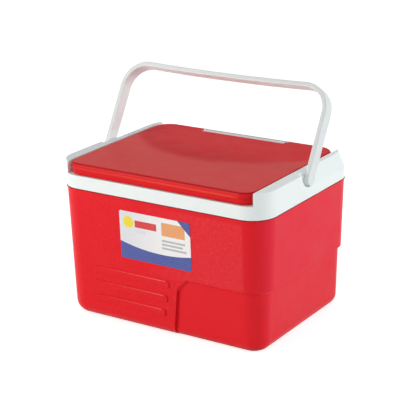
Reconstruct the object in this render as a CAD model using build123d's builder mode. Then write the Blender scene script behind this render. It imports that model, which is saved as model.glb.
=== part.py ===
# Insulated vaccine carrier: a drafted outer shell, foam, an inner tub, a moulded collar
# with two ears, a rear-hinged lid and a swing handle.  Millimetres, +Z up, front at -Y.
# The origin is the centre of the bottom face.
import os
from math import atan2, cos, degrees, radians, sin, sqrt, tan
from build123d import *

os.makedirs("parts", exist_ok=True)

# Outer shell
shell_length = 340.0
shell_depth = 257.4
shell_height = 196.3
shell_corner = 35.0
shell_wall = 3.0
draft_angle = 1.8
base_radius = 19.0
sole_trim = 0.7
foot_height = 2.0
foot_width = 16.0
lip_height = 3.2
lip_proud = 1.3
lip_edge = 1.15
slip_gap = 0.3

# Recess round the right-hand end
recess_depth = 4.2
recess_ledge = 3.2
recess_bottom_x = 21.0
recess_waist_x = 29.0
recess_shoulder_x = 47.0
recess_waist_z = 70.0
recess_top_z = 88.0

# Raised bars on the front
bar_proud = 1.5
bar_height = 10.0
bar_left_x = -115.0
bar_edge = 0.9
bar_right_ends = (17.0, 13.0, 9.0)
bar_top_z = 78.0
bar_pitch = 22.0

# Label
label_width = 118.0
label_height = 71.0
label_x = -3.5
label_drop = 55.3
label_corner = 3.0
label_thickness = 0.4

# Collar
collar_proud = 0.9
band_height = 19.1
collar_edge = 1.5
collar_web = 3.0
tongue_depth = 8.0
tongue_gap = 0.6
ear_height = 18.4
ear_width = 17.5
bevel_width = 9.5
bevel_height = 22.0

# Inner tub
end_foam = 27.0
side_foam = 27.2
tub_corner = 22.0
tub_wall = 2.5
tub_draft = 1.0
tub_floor_radius = 5.0
tub_rim_width = 9.0
tub_rim_thickness = 2.5
floor_foam = 18.0

# Coolant packs and pad
pack_width = 94.0
pack_headroom = 5.2
pack_thickness = 34.0
pack_corner = 10.0
pack_edge = 6.5
panel_inset = 16.0
panel_depth = 2.0
spout_step_width = 34.0
spout_step_height = 15.0
spout_radius = 9.0
spout_height = 5.0
cap_radius = 13.0
cap_height = 9.0
cap_sides = 12
pad_thickness = 28.0
pad_corner = 8.0
pad_slit_width = 2.0
pad_slit_length = 34.0
pad_slit_depth = 12.0
pad_slit_pitch = 40.0
pad_slit_columns = 4

# Lid
lid_end_gap = 0.8
lid_height = 17.9
lid_front_inset = 0.6
lid_rear_inset = 11.9
lid_wall = 3.0
lid_front_corner = 20.0
lid_rear_corner = 28.0
lid_bulge = 1.9
lid_rim = 8.0
lid_top_edge = 3.0
lid_bottom_edge = 1.5
lid_overlap = 1.0
lid_liner_wall = 2.5
plug_drop = 22.0
plug_taper = 8.5
plug_side_gap = 0.9
plug_corner = 20.0

# Lid hinge
hinge_inset = 19.2
hinge_drop = 9.0
hinge_barrel_radius = 8.6
hinge_gap = 0.7
block_half = 70.0
notch_flare = 8.0
hinge_pin_radius = 3.0
hinge_pin_length = 38.0
pin_in_block = 14.0
pin_seat_clearance = 0.02
running_clearance = 0.06

# Swing handle
pivot_y = -2.0
pivot_rise = 8.6
handle_lean = 30.4
handle_reach = 128.7
grip_dip = 2.2
strap_thickness = 7.0
strap_width_top = 20.5
strap_width_bottom = 18.5
strap_edge = 1.6
handle_bend = 40.0
eye_radius = 9.6
boss_radius = 11.0
boss_gap = 0.3
pocket_radius = 22.0
pocket_depth = 8.0
leg_sink = 4.2
stud_radius = 5.0
stud_length = 8.5
stud_end_gap = 0.5

# Levels that follow from the sizes above
band_top = shell_height + band_height
ear_top = band_top + ear_height
collar_length = shell_length + 2 * collar_proud
collar_depth = shell_depth + 2 * collar_proud
ear_inner_x = collar_length / 2 - ear_width
leg_inner_x = collar_length / 2 - leg_sink
pivot_z = band_top + pivot_rise
label_z = shell_height - label_drop
cavity_floor = foot_height + shell_wall
tub_length = shell_length - 2 * end_foam
tub_depth = shell_depth - 2 * side_foam
tub_top = band_top - collar_web
tub_floor = cavity_floor + floor_foam + tub_wall
tub_inset = (tub_top - tub_floor) * tan(radians(tub_draft))
lid_bottom = band_top + slip_gap
lid_top = lid_bottom + lid_height
lid_half = ear_inner_x - lid_end_gap
lid_front = lid_front_inset - shell_depth / 2
lid_front_top = lid_front + lid_bulge
lid_rear = shell_depth / 2 - lid_rear_inset
hinge_y = shell_depth / 2 - hinge_inset
hinge_z = lid_top - hinge_drop
pack_height = lid_bottom - plug_drop - pack_headroom - tub_floor
beyond = shell_depth
front_plane = Plane.XZ.offset(shell_depth / 4)
front_run = shell_depth / 2
pick_margin = 1.0


# The shell's drafted outer form, grown or shrunk, standing on the level called floor.
def drafted_form(grow, floor):
    down_plane = Plane(origin=(0, 0, shell_height), z_dir=(0, 0, -1))
    with BuildPart() as form:
        with BuildSketch(down_plane):
            RectangleRounded(
                shell_length + 2 * grow, shell_depth + 2 * grow, shell_corner + grow
            )
        extrude(amount=shell_height - floor, taper=draft_angle)
        fillet(form.faces().sort_by(Axis.Z)[0].edges(), radius=base_radius + grow)
    return form.part


# The side view of the recess, widened by grow and run through the whole depth.
def recess_prism(grow):
    with BuildPart() as prism:
        with BuildSketch(Plane.XZ):
            with BuildLine():
                Polyline(
                    (recess_bottom_x - grow, -shell_wall),
                    (recess_waist_x - grow, recess_waist_z),
                    (recess_shoulder_x - grow, recess_top_z + grow),
                    (shell_length, recess_top_z + grow),
                    (shell_length, -shell_wall),
                    close=True,
                )
            make_face()
        extrude(amount=beyond, both=True)
    return prism.part


# The tub's drafted form, grown or shrunk, between two levels.
def tub_form(grow, top, floor):
    down_plane = Plane(origin=(0, 0, top), z_dir=(0, 0, -1))
    with BuildPart() as form:
        with BuildSketch(down_plane):
            RectangleRounded(
                tub_length + 2 * grow, tub_depth + 2 * grow, tub_corner + grow
            )
        extrude(amount=top - floor, taper=tub_draft)
        fillet(form.faces().sort_by(Axis.Z)[0].edges(), radius=tub_floor_radius + grow)
    return form.part


# The hollow inside the shell: it steps inward behind the recess, so the wall stays even.
def shell_cavity(gap):
    with BuildPart() as ring:
        add(recess_prism(shell_wall + gap))
        add(drafted_form(-recess_depth - shell_wall - gap, cavity_floor + gap), mode=Mode.SUBTRACT)
    with BuildPart() as cavity:
        add(drafted_form(-shell_wall - gap, cavity_floor + gap))
        add(ring.part, mode=Mode.SUBTRACT)
    return cavity.part


# Outer shell
with BuildPart() as recess_skin:
    add(recess_prism(0))
    add(drafted_form(-recess_depth, -sole_trim), mode=Mode.SUBTRACT)

with BuildPart() as front_bars:
    with BuildSketch(front_plane):
        for row, right_end in enumerate(bar_right_ends):
            bar_length = right_end - bar_left_x
            bar_centre = (right_end + bar_left_x) / 2
            with Locations((bar_centre, bar_top_z - row * bar_pitch)):
                RectangleRounded(bar_length, bar_height, bar_height / 2 - bar_edge)
    extrude(amount=front_run)
    add(drafted_form(bar_proud, 0), mode=Mode.INTERSECT)
    front_edges = front_bars.faces().group_by(Axis.Y)[0].edges()
    fillet(front_edges, radius=bar_edge)

with BuildPart() as outer_shell:
    add(drafted_form(0, -sole_trim))
    add(recess_skin.part, mode=Mode.SUBTRACT)
    proud_side = drafted_form(-recess_depth / 2, 0)
    ledge_edges = [
        edge
        for edge in outer_shell.edges(Select.LAST)
        if not proud_side.solid().is_inside(edge @ 0.5)
        and recess_waist_z < (edge @ 0.5).Z < recess_top_z + slip_gap
    ]
    chamfer(ledge_edges, length=recess_ledge)
    add(front_bars.part)
    with BuildSketch(Plane.XY.offset(shell_height - lip_height)):
        RectangleRounded(
            shell_length + 2 * lip_proud, shell_depth + 2 * lip_proud, shell_corner + lip_proud
        )
    extrude(amount=lip_height)
    lip_edges = outer_shell.edges().filter_by(
        lambda edge: edge.bounding_box().max.X > shell_length / 2 + lip_proud / 2
        or edge.bounding_box().min.X < -shell_length / 2 - lip_proud / 2
    )
    fillet(lip_edges, radius=lip_edge)
    add(shell_cavity(0), mode=Mode.SUBTRACT)
    with BuildSketch(Plane.XY):
        foot_inset = 2 * (base_radius + shell_height * tan(radians(draft_angle)) + foot_width)
        RectangleRounded(shell_length - foot_inset, shell_depth - foot_inset, base_radius)
    extrude(amount=foot_height, mode=Mode.SUBTRACT)
    with BuildSketch(Plane.XY):
        Rectangle(2 * beyond, 2 * beyond)
    extrude(amount=-shell_wall, mode=Mode.SUBTRACT)
outer_shell.part.label = "outer_shell"
export_step(outer_shell.part, "parts/outer_shell.step")


# Foam between the shell and the tub
foam_step = shell_height - tongue_depth - slip_gap
rim_underside = tub_top - tub_rim_thickness
with BuildPart() as body_insulation:
    add(shell_cavity(slip_gap))
    split(bisect_by=Plane.XY.offset(foam_step), keep=Keep.BOTTOM)
    with BuildSketch(Plane.XY.offset(foam_step)):
        RectangleRounded(
            tub_length + 2 * tub_rim_width, tub_depth + 2 * tub_rim_width, tub_corner + tub_rim_width
        )
    extrude(amount=rim_underside - slip_gap - foam_step)
    add(tub_form(tub_wall + slip_gap, tub_top, tub_floor - tub_wall - slip_gap), mode=Mode.SUBTRACT)
body_insulation.part.label = "body_insulation"
export_step(body_insulation.part, "parts/body_insulation.step")


# Inner tub with its rim
with BuildPart() as inner_tub:
    add(tub_form(tub_wall, tub_top, tub_floor - tub_wall))
    with BuildSketch(Plane.XY.offset(rim_underside)):
        RectangleRounded(
            tub_length + 2 * tub_rim_width, tub_depth + 2 * tub_rim_width, tub_corner + tub_rim_width
        )
    extrude(amount=tub_rim_thickness)
    add(tub_form(0, tub_top, tub_floor), mode=Mode.SUBTRACT)
inner_tub.part.label = "inner_tub"
export_step(inner_tub.part, "parts/inner_tub.step")


# The hinge barrel: round on top, straight below, and wider behind than in front where the
# lid's notch flares.
def hinge_barrel(radius, front_half, rear_half, bottom):
    with BuildPart() as barrel:
        with BuildSketch(Plane.YZ):
            with Locations((hinge_y, hinge_z)):
                Circle(radius)
            with Locations((hinge_y, (hinge_z + bottom) / 2)):
                Rectangle(2 * radius, hinge_z - bottom)
        extrude(amount=rear_half, both=True)
        with BuildSketch(Plane.XY.offset(bottom)):
            with BuildLine():
                Polyline(
                    (-front_half, hinge_y - radius),
                    (front_half, hinge_y - radius),
                    (rear_half, hinge_y + radius),
                    (-rear_half, hinge_y + radius),
                    close=True,
                )
            make_face()
        extrude(amount=beyond, mode=Mode.INTERSECT)
    return barrel.part


pin_inner_x = block_half - pin_in_block

# Collar: a band with an ear at each end, the hinge block, and a tongue inside the shell
rim_gap_length = tub_length + 2 * (tub_rim_width + slip_gap)
rim_gap_depth = tub_depth + 2 * (tub_rim_width + slip_gap)
pocket_floor_x = collar_length / 2 - pocket_depth
boss_end_x = leg_inner_x - boss_gap

bevel_floor = ear_top - bevel_height
bevel_slope = degrees(atan2(bevel_width, bevel_height))

# What is cut from behind the pivots: all that lies outside a form that leans in as it rises
with BuildPart() as rear_bevel:
    with BuildSketch(Plane.XY.offset(bevel_floor)):
        with Locations((0, pivot_y + beyond / 2)):
            Rectangle(2 * beyond, beyond)
    extrude(amount=2 * bevel_height)
    with BuildSketch(Plane.XY.offset(bevel_floor)):
        RectangleRounded(collar_length, collar_depth, shell_corner + collar_proud)
    extrude(amount=2 * bevel_height, taper=bevel_slope, mode=Mode.SUBTRACT)

with BuildPart() as collar:
    with BuildSketch(Plane.XY.offset(shell_height)):
        RectangleRounded(collar_length, collar_depth, shell_corner + collar_proud)
    extrude(amount=band_height + ear_height)
    fillet(collar.faces().sort_by(Axis.Z)[-1].edges(), radius=collar_edge)
    with BuildSketch(Plane.XY.offset(band_top)):
        Rectangle(2 * ear_inner_x, 2 * beyond)
    extrude(amount=ear_height, mode=Mode.SUBTRACT)
    add(hinge_barrel(hinge_barrel_radius, block_half, block_half, band_top))
    add(rear_bevel.part, mode=Mode.SUBTRACT)
    for side in (1, -1):
        pocket_plane = Plane(origin=(side * pocket_floor_x, 0, 0), x_dir=(0, 1, 0), z_dir=(side, 0, 0))
        boss_plane = Plane(origin=(side * boss_end_x, 0, 0), x_dir=(0, 1, 0), z_dir=(side, 0, 0))
        eye_place = (pivot_y, side * pivot_z)
        with BuildSketch(pocket_plane):
            with Locations((pivot_y, side * ear_top)):
                Circle(pocket_radius)
        extrude(amount=ear_width, mode=Mode.SUBTRACT)
        with BuildSketch(boss_plane):
            with Locations(eye_place):
                Circle(boss_radius)
            with Locations((pivot_y, side * (ear_top + boss_radius))):
                Rectangle(2 * boss_radius, 2 * boss_radius, mode=Mode.SUBTRACT)
        extrude(amount=pocket_floor_x - boss_end_x - slip_gap)
        with BuildSketch(boss_plane):
            with Locations(eye_place):
                Circle(stud_radius + running_clearance)
        extrude(amount=-stud_length - stud_end_gap + boss_gap, mode=Mode.SUBTRACT)
        pin_plane = Plane(origin=(side * pin_inner_x, 0, 0), x_dir=(0, 1, 0), z_dir=(side, 0, 0))
        with BuildSketch(pin_plane):
            with Locations((hinge_y, side * hinge_z)):
                Circle(hinge_pin_radius + running_clearance)
        extrude(amount=hinge_pin_length, mode=Mode.SUBTRACT)
    with BuildSketch(Plane.XY.offset(shell_height)):
        RectangleRounded(
            shell_length - 2 * (shell_wall + tongue_gap),
            shell_depth - 2 * (shell_wall + tongue_gap),
            shell_corner - shell_wall - tongue_gap,
        )
    extrude(amount=-tongue_depth)
    with BuildSketch(Plane.XY.offset(tub_top)):
        RectangleRounded(rim_gap_length, rim_gap_depth, tub_corner + tub_rim_width + slip_gap)
    extrude(amount=-beyond, mode=Mode.SUBTRACT)
    with BuildSketch(Plane.XY.offset(band_top)):
        RectangleRounded(tub_length, tub_depth, tub_corner)
    extrude(amount=-beyond, mode=Mode.SUBTRACT)
collar.part.label = "collar"
export_step(collar.part, "parts/collar.step")


# Label on the front face
with BuildPart() as label:
    with BuildSketch(front_plane):
        with Locations((label_x, label_z)):
            RectangleRounded(label_width, label_height, label_corner)
    extrude(amount=front_run)
    add(drafted_form(label_thickness, 0), mode=Mode.INTERSECT)
    add(drafted_form(0, 0), mode=Mode.SUBTRACT)
label.part.label = "label"
export_step(label.part, "parts/label.step")


# Coolant pack: an upright slab with a recessed panel on both faces and a stepped corner
# where its spout stands.  It is drawn at the origin, with its thickness along Y.
spout_x = (pack_width - spout_step_width) / 2
spout_floor = pack_height - spout_step_height
with BuildPart() as coolant_pack:
    with BuildSketch(Plane.XZ):
        with Locations((0, pack_height / 2)):
            RectangleRounded(pack_width, pack_height, pack_corner)
        with Locations((pack_width / 2, pack_height)):
            Rectangle(2 * spout_step_width, 2 * spout_step_height, mode=Mode.SUBTRACT)
    extrude(amount=pack_thickness / 2, both=True)
    face_edges = coolant_pack.edges().filter_by(Plane.XZ)
    fillet(face_edges, radius=pack_edge)
    for face_side in (1, -1):
        with BuildSketch(Plane.XZ.offset(face_side * (pack_thickness / 2 - panel_depth))):
            with Locations((0, pack_height / 2 - spout_step_height / 2)):
                RectangleRounded(
                    pack_width - 2 * panel_inset,
                    pack_height - 2 * panel_inset - spout_step_height,
                    pack_corner,
                )
        extrude(amount=face_side * 2 * panel_depth, mode=Mode.SUBTRACT)
    with BuildSketch(Plane.XY.offset(spout_floor)):
        with Locations((spout_x, 0)):
            Circle(spout_radius)
    extrude(amount=spout_height)

with BuildPart() as pack_cap:
    with BuildSketch(Plane.XY.offset(spout_floor + slip_gap)):
        with Locations((spout_x, 0)):
            RegularPolygon(cap_radius, cap_sides)
    extrude(amount=cap_height)
    with BuildSketch(Plane.XY.offset(spout_floor + slip_gap)):
        with Locations((spout_x, 0)):
            Circle(spout_radius + slip_gap)
    extrude(amount=spout_height, mode=Mode.SUBTRACT)

pack_stand_off = pack_thickness / 2 + slip_gap
front_pack_y = tub_depth / 2 - tub_inset - pack_stand_off
end_pack_x = tub_length / 2 - tub_inset - pack_stand_off
pack_places = {
    "front": Location((0, -front_pack_y, tub_floor), (0, 0, 0)),
    "rear": Location((0, front_pack_y, tub_floor), (0, 0, 180)),
    "right": Location((end_pack_x, 0, tub_floor), (0, 0, 90)),
    "left": Location((-end_pack_x, 0, tub_floor), (0, 0, -90)),
}
for wall_name, pack_place in pack_places.items():
    placed_pack = coolant_pack.part.moved(pack_place)
    placed_pack.label = "coolant_pack_" + wall_name
    export_step(placed_pack, "parts/coolant_pack_" + wall_name + ".step")
    placed_cap = pack_cap.part.moved(pack_place)
    placed_cap.label = "pack_cap_" + wall_name
    export_step(placed_cap, "parts/pack_cap_" + wall_name + ".step")


# Foam pad between the packs, with rows of slits that take the vials
pad_top = tub_floor + pack_height
pad_length = 2 * (end_pack_x - pack_stand_off)
pad_depth = 2 * (front_pack_y - pack_stand_off)
with BuildPart() as vial_pad:
    with BuildSketch(Plane.XY.offset(pad_top)):
        RectangleRounded(pad_length, pad_depth, pad_corner)
    extrude(amount=-pad_thickness)
    with BuildSketch(Plane.XY.offset(pad_top)):
        with GridLocations(pad_slit_pitch, pad_slit_pitch, pad_slit_columns, 2):
            Rectangle(pad_slit_length, pad_slit_width)
            Rectangle(pad_slit_width, pad_slit_length)
    extrude(amount=-pad_slit_depth, mode=Mode.SUBTRACT)
vial_pad.part.label = "vial_pad"
export_step(vial_pad.part, "parts/vial_pad.step")


# Lid cover: a shallow cap, solid along its rear edge where the hinge pins are pressed in
# The heel behind the pins is an arc about the hinge, so it turns clear of the band.
lug_front_y = hinge_y - hinge_barrel_radius - hinge_gap - lid_wall
heel_radius = hinge_z - lid_bottom
heel_drop = sqrt(heel_radius**2 - (lid_rear - hinge_y) ** 2)
notch_half = block_half + hinge_gap
lid_notch = hinge_barrel(
    hinge_barrel_radius + hinge_gap, notch_half, notch_half + notch_flare, lid_bottom - lid_wall
)
lid_middle = (lid_bottom + lid_top) / 2
lid_inner_half = lid_half - lid_bulge - lid_wall

lid_core_inset = lid_bulge + lid_rim - lid_overlap
lid_front_arc_y = lid_front + lid_front_corner
lid_rear_arc_y = lid_rear - lid_rear_corner
lid_front_arc_x = lid_half - lid_front_corner
lid_rear_arc_x = lid_half - lid_rear_corner

# The lid's form: a rim with a bulging face, run round the outline, and the slab inside it
with BuildPart() as lid_form:
    with BuildLine(Plane.XY.offset(lid_middle)) as lid_run:
        for side in (-1, 1):
            Line((0, lid_front), (side * lid_front_arc_x, lid_front))
            RadiusArc(
                (side * lid_front_arc_x, lid_front),
                (side * lid_half, lid_front_arc_y),
                -side * lid_front_corner,
            )
            Line((side * lid_half, lid_front_arc_y), (side * lid_half, lid_rear_arc_y))
            RadiusArc(
                (side * lid_half, lid_rear_arc_y),
                (side * lid_rear_arc_x, lid_rear),
                -side * lid_rear_corner,
            )
            Line((side * lid_rear_arc_x, lid_rear), (0, lid_rear))
    with BuildSketch(Plane.YZ) as rim_section:
        with BuildLine():
            ThreePointArc(
                (lid_front + lid_bulge, lid_bottom),
                (lid_front, lid_middle),
                (lid_front + lid_bulge, lid_top),
            )
            Polyline(
                (lid_front + lid_bulge, lid_top),
                (lid_front + lid_bulge + lid_rim, lid_top),
                (lid_front + lid_bulge + lid_rim, lid_bottom),
                (lid_front + lid_bulge, lid_bottom),
            )
        make_face()
        fillet(rim_section.vertices().group_by(Axis.Y)[-1].sort_by(Axis.X)[0], radius=lid_top_edge)
        fillet(rim_section.vertices().group_by(Axis.Y)[0].sort_by(Axis.X)[0], radius=lid_bottom_edge)
    sweep(sections=rim_section.sketch, path=lid_run.wires()[0])
    with BuildSketch(Plane.XY.offset(lid_bottom)) as lid_core:
        with Locations((0, (lid_front + lid_rear) / 2)):
            Rectangle(2 * (lid_half - lid_core_inset), lid_rear - lid_front - 2 * lid_core_inset)
        fillet(lid_core.vertices().group_by(Axis.Y)[0], radius=lid_front_corner - lid_rim)
        fillet(lid_core.vertices().group_by(Axis.Y)[-1], radius=lid_rear_corner - lid_rim)
    extrude(amount=lid_height)

with BuildPart() as lid_cover:
    with BuildSketch(Plane.YZ):
        with BuildLine():
            Polyline(
                (hinge_y, lid_bottom),
                (-beyond, lid_bottom),
                (-beyond, lid_top),
                (lid_rear, lid_top),
                (lid_rear, hinge_z - heel_drop),
            )
            RadiusArc((hinge_y, lid_bottom), (lid_rear, hinge_z - heel_drop), heel_radius)
        make_face()
    extrude(amount=lid_half, both=True)
    add(lid_form.part, mode=Mode.INTERSECT)
    add(lid_notch, mode=Mode.SUBTRACT)
    with BuildSketch(Plane.XY.offset(lid_bottom)):
        hollow_depth = lug_front_y - lid_front_top - lid_wall
        with Locations((0, lug_front_y - hollow_depth / 2)):
            RectangleRounded(2 * lid_inner_half, hollow_depth, lid_front_corner - lid_wall)
    extrude(amount=lid_height - lid_wall, mode=Mode.SUBTRACT)
    for side in (1, -1):
        pin_plane = Plane(origin=(side * pin_inner_x, 0, 0), x_dir=(0, 1, 0), z_dir=(side, 0, 0))
        with BuildSketch(pin_plane):
            with Locations((hinge_y, side * hinge_z)):
                Circle(hinge_pin_radius + pin_seat_clearance)
        extrude(amount=hinge_pin_length, mode=Mode.SUBTRACT)
lid_cover.part.label = "lid_cover"
export_step(lid_cover.part, "parts/lid_cover.step")


# Lid hinge pins
for side, side_name in ((1, "right"), (-1, "left")):
    with BuildPart() as hinge_pin:
        pin_end = (side * (pin_inner_x + slip_gap), 0, 0)
        with BuildSketch(Plane(origin=pin_end, x_dir=(0, 1, 0), z_dir=(side, 0, 0))):
            with Locations((hinge_y, side * hinge_z)):
                Circle(hinge_pin_radius)
        extrude(amount=hinge_pin_length - 2 * slip_gap)
    hinge_pin.part.label = "hinge_pin_" + side_name
    export_step(hinge_pin.part, "parts/hinge_pin_" + side_name + ".step")


# Lid liner: a plate inside the cover with a hollow tapered plug that enters the tub
plug_front = -tub_depth / 2 + plug_side_gap
plug_rear = lug_front_y - lid_liner_wall - slip_gap
plug_length = tub_length - 2 * plug_side_gap
plug_centre_y = (plug_front + plug_rear) / 2


# The plug's tapered form, shrunk by inset, from the level called top down to its floor.
def plug_form(inset, top):
    with BuildPart() as form:
        with BuildSketch(Plane(origin=(0, 0, top), z_dir=(0, 0, -1))):
            with Locations((0, plug_centre_y)):
                RectangleRounded(
                    plug_length - 2 * inset, plug_rear - plug_front - 2 * inset, plug_corner - inset
                )
        extrude(amount=plug_drop + top - lid_bottom - inset, taper=plug_taper)
        fillet(form.faces().sort_by(Axis.Z)[0].edges(), radius=lid_liner_wall)
    return form.part


liner_plate_front = lid_front_top + lid_wall + slip_gap
liner_plate_rear = lug_front_y - slip_gap
liner_plate_centre = (liner_plate_front + liner_plate_rear) / 2
liner_plate_half = lid_inner_half - slip_gap
liner_plate_corner = lid_front_corner - lid_wall - slip_gap


def lid_slab(bottom, top):
    with BuildPart() as slab:
        with BuildSketch(Plane.XY.offset(bottom)):
            with Locations((0, liner_plate_centre)):
                RectangleRounded(
                    2 * liner_plate_half, liner_plate_rear - liner_plate_front, liner_plate_corner
                )
        extrude(amount=top - bottom)
    return slab.part


plate_top = lid_bottom + lid_liner_wall
with BuildPart() as lid_liner:
    add(lid_slab(lid_bottom, plate_top))
    add(plug_form(0, lid_bottom))
    add(plug_form(lid_liner_wall, plate_top), mode=Mode.SUBTRACT)
lid_liner.part.label = "lid_liner"
export_step(lid_liner.part, "parts/lid_liner.step")

with BuildPart() as lid_insulation:
    add(lid_slab(plate_top + slip_gap, lid_top - lid_wall - slip_gap))
    add(plug_form(lid_liner_wall + slip_gap, plate_top + slip_gap))
lid_insulation.part.label = "lid_insulation"
export_step(lid_insulation.part, "parts/lid_insulation.step")


# Swing handle: a flat strap bent into a bail, narrower at its eyes, drawn leaning back
lean_sin = sin(radians(handle_lean))
lean_cos = cos(radians(handle_lean))
handle_plane = Plane(origin=(0, pivot_y, pivot_z), x_dir=(1, 0, 0), z_dir=(0, -lean_cos, lean_sin))
strap_side_plane = Plane(origin=(0, pivot_y, pivot_z), x_dir=(0, lean_cos, -lean_sin), z_dir=(1, 0, 0))
leg_outer_x = leg_inner_x + strap_thickness
strap_top = handle_reach + strap_thickness / 2

with BuildPart() as handle_bail:
    with BuildSketch(handle_plane):
        with BuildLine():
            for run_x, run_top, bend in (
                (leg_outer_x, strap_top, handle_bend),
                (leg_inner_x, strap_top - strap_thickness, handle_bend - strap_thickness),
            ):
                Line((-run_x, 0), (-run_x, run_top - bend))
                RadiusArc((-run_x, run_top - bend), (bend - run_x, run_top), bend)
                ThreePointArc((bend - run_x, run_top), (0, run_top - grip_dip), (run_x - bend, run_top))
                RadiusArc((run_x - bend, run_top), (run_x, run_top - bend), bend)
                Line((run_x, run_top - bend), (run_x, 0))
            Line((leg_outer_x, 0), (leg_inner_x, 0))
            Line((-leg_inner_x, 0), (-leg_outer_x, 0))
        make_face()
    extrude(amount=strap_width_top, both=True)
    with BuildSketch(strap_side_plane):
        with BuildLine():
            Polyline(
                (-strap_width_bottom / 2, 0),
                (-strap_width_top / 2, strap_top + strap_edge),
                (strap_width_top / 2, strap_top + strap_edge),
                (strap_width_bottom / 2, 0),
                close=True,
            )
        make_face()
    extrude(amount=shell_length, both=True, mode=Mode.INTERSECT)
    up_the_legs = Axis(origin=(0, 0, 0), direction=handle_plane.y_dir)
    end_edges = handle_bail.faces().sort_by(up_the_legs)[:2].edges()
    across_edges = handle_bail.edges().filter_by(
        lambda edge: edge.length < strap_width_top + strap_edge
    )
    strap_edges = handle_bail.edges() - end_edges - across_edges
    fillet(strap_edges, radius=strap_edge)
    for side in (1, -1):
        eye_plane = Plane(origin=(side * leg_inner_x, 0, 0), x_dir=(0, 1, 0), z_dir=(side, 0, 0))
        with BuildSketch(eye_plane):
            with Locations((pivot_y, side * pivot_z)):
                Circle(eye_radius)
        extrude(amount=strap_thickness)
        with BuildSketch(eye_plane):
            with Locations((pivot_y, side * pivot_z)):
                Circle(stud_radius)
        extrude(amount=-stud_length)
handle_bail.part.label = "handle_bail"
export_step(handle_bail.part, "parts/handle_bail.step")
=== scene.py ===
from math import cos, radians, sin

import bmesh
import bpy
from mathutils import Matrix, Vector


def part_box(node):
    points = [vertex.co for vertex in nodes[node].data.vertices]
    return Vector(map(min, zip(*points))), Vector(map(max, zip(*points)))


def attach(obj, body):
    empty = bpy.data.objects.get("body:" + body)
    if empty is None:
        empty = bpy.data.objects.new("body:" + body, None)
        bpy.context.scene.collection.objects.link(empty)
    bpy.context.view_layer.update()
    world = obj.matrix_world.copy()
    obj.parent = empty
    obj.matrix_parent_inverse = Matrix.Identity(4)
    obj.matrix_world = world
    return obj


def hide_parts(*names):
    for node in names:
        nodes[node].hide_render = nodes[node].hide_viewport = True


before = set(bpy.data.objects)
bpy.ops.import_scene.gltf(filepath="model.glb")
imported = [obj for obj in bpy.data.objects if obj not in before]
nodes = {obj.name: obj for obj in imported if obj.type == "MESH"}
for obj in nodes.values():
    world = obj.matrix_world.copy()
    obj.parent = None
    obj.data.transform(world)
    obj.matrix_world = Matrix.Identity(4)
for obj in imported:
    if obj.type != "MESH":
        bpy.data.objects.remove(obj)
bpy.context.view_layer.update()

print("carrier loaded,", len(nodes), "solids")


# Camera
camera = {
    "place": (1.0395, -1.5976, 0.7991),
    "turn": (71.568, 1.084, 32.972),  # degrees about X, Y, Z
    "lens": 124.78,
    "sensor": 36.0,
    "nearest": 0.05,
    "farthest": 30.0,
}
cameraData = bpy.data.cameras.new("viewCamera")
cameraData.lens = camera["lens"]
cameraData.sensor_width = camera["sensor"]
cameraData.clip_start = camera["nearest"]
cameraData.clip_end = camera["farthest"]
cameraObject = bpy.data.objects.new("viewCamera", cameraData)
cameraObject.location = camera["place"]
cameraObject.rotation_euler = [radians(a) for a in camera["turn"]]
bpy.context.scene.collection.objects.link(cameraObject)
bpy.context.scene.camera = cameraObject
bpy.context.scene.view_settings.view_transform = "Standard"
print("camera set")


noiseRange = (0.3, 0.7)  # most of a noise's values lie between these


# Small helpers for node trees
def put(tree, kind, place, **settings):
    node = tree.nodes.new("ShaderNode" + kind)
    node.location = place
    for name, value in settings.items():
        setattr(node, name, value)
    return node


def fill(node, **values):  # input values, by socket name with spaces left out
    for socket in node.inputs:
        key = socket.name.replace(" ", "")
        if key in values and not socket.is_linked:
            socket.default_value = values[key]
    return node


def join(tree, output, *sockets):
    for socket in sockets:
        tree.links.new(output, socket)


def feed(tree, socket, value):  # a plain value is set on the socket, an output is linked to it
    if isinstance(value, (int, float, tuple)):
        socket.default_value = value
    else:
        tree.links.new(value, socket)


def calc(tree, place, operation, *values, clamp=False):
    node = put(tree, "Math", place, operation=operation, use_clamp=clamp)
    for socket, value in zip(node.inputs, values):
        feed(tree, socket, value)
    return node.outputs[0]


def product(tree, place, first, *others):
    for other in others:
        first = calc(tree, place, "MULTIPLY", first, other)
    return first


def spread(tree, place, value, low, high, newLow, newHigh, smooth=False):
    node = put(tree, "MapRange", place, clamp=True)
    if smooth:
        node.interpolation_type = "SMOOTHSTEP"
    ends = {"Value": value, "From Min": low, "From Max": high, "To Min": newLow, "To Max": newHigh}
    for name, number in ends.items():
        feed(tree, node.inputs[name], number)
    return node.outputs["Result"]


def band(tree, place, value, middle, half, blur, top=1.0, smooth=False):  # top near the middle, 0 past half + blur
    off = calc(tree, place, "ABSOLUTE", calc(tree, place, "SUBTRACT", value, middle))
    return spread(tree, place, off, half, half + blur, top, 0.0, smooth=smooth)


def noise(tree, place, vector, **values):
    node = put(tree, "TexNoise", place)
    fill(node, **values)
    join(tree, vector, node.inputs["Vector"])
    return node


def split(tree, place, vector):
    node = put(tree, "SeparateXYZ", place)
    join(tree, vector, node.inputs[0])
    return node.outputs["X"], node.outputs["Y"], node.outputs["Z"]


def blendColour(tree, place, factor, first, second):
    node = put(tree, "Mix", place, data_type="RGBA")
    for socket, value in ((node.inputs[0], factor), (node.inputs[6], first), (node.inputs[7], second)):
        feed(tree, socket, value)
    return node.outputs[2]


def paintOver(tree, place, ground, *coats):  # each coat is a mask and its colour
    for mask, colour in coats:
        ground = blendColour(tree, place, mask, ground, colour)
    return ground


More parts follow.
